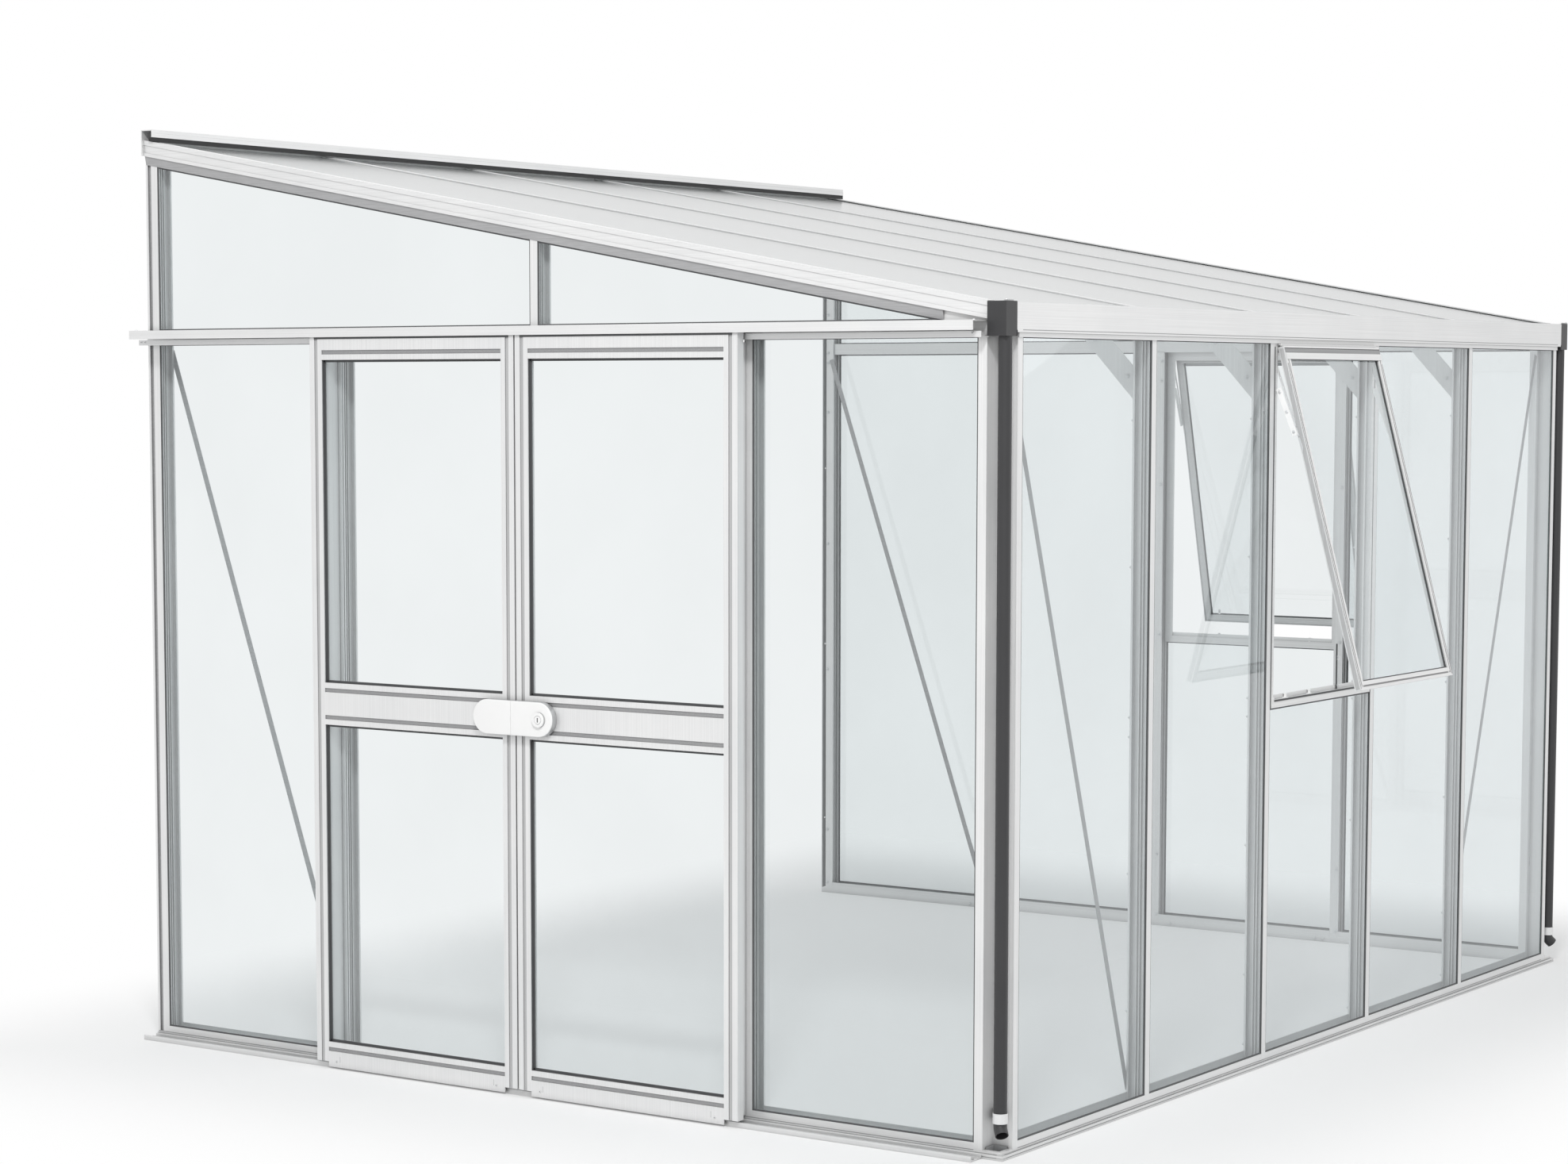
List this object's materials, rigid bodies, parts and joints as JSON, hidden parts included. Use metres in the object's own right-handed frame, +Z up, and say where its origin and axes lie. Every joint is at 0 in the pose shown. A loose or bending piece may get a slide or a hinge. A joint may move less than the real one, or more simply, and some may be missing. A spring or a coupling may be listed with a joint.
{
  "type": "lean-to greenhouse",
  "caption": "Glazed lean-to greenhouse for a house wall: aluminium glazing bars, shallow ribbed-sheet roof, gutter with downpipes, sliding gable door leaves, windows hung open.",
  "frame": {"origin": "on the ground under the middle of the bounding box, the open window sashes and the door handle included", "axes": "+X along the house wall from the door gable to the far gable, +Y towards the house wall, +Z up"},
  "size_m": [4.208, 3.329, 2.8007],
  "materials": {
    "aluminium": "pale mill finish with fine drawn lines",
    "clear_glass": "clear float glass",
    "ribbed_sheet": "pale clear twin-wall sheet",
    "black_plastic": "satin black",
    "black_rubber": "matt black",
    "white_plastic": "white moulded"
  },
  "bodies": {
    "greenhouse": {"sill_near": "aluminium", "sill_front": "aluminium", "sill_far": "aluminium", "corner_plates": "aluminium", "wall_post_near": "aluminium", "wall_post_far": "aluminium", "corner_post_near": "aluminium", "corner_post_far": "aluminium", "front_posts": "aluminium", "door_posts": "aluminium", "gable_mullions": "aluminium", "gable_posts_far": "aluminium", "transom_near": "aluminium", "transom_far": "aluminium", "door_header": "aluminium", "door_guide_rail": "aluminium", "eaves_beam": "aluminium", "gutter": "aluminium", "hoppers": "black_plastic", "downpipes": "black_plastic", "pipe_clips": "aluminium", "verge_near": "aluminium", "verge_far": "aluminium", "rafters": "aluminium", "wall_rail": "aluminium", "wall_seal": "black_rubber", "roof_sheets": "ribbed_sheet", "knee_braces": "aluminium", "wind_braces": "aluminium", "gable_glass_near": "clear_glass", "front_glass": "clear_glass", "gable_glass_far": "clear_glass", "front_window_frame": "aluminium", "front_window_sash": "aluminium", "front_window_glass": "clear_glass", "far_window_frame": "aluminium", "far_window_sash": "aluminium", "far_window_glass": "clear_glass", "window_stays": "aluminium"},
    "door_left": {"door_left_frame": "aluminium", "door_left_glass": "clear_glass", "door_left_handle": "white_plastic", "door_left_runners": "white_plastic"},
    "door_right": {"door_right_frame": "aluminium", "door_right_glass": "clear_glass", "door_right_handle": "white_plastic", "door_right_runners": "white_plastic"}
  },
  "joints": [
    {"name": "door_left_slide", "type": "slide", "parent": "greenhouse", "child": "door_left", "axis": [0, 1, 0], "range_m": [0, 0.68]},
    {"name": "door_right_slide", "type": "slide", "parent": "greenhouse", "child": "door_right", "axis": [0, -1, 0], "range_m": [0, 0.68]}
  ]
}
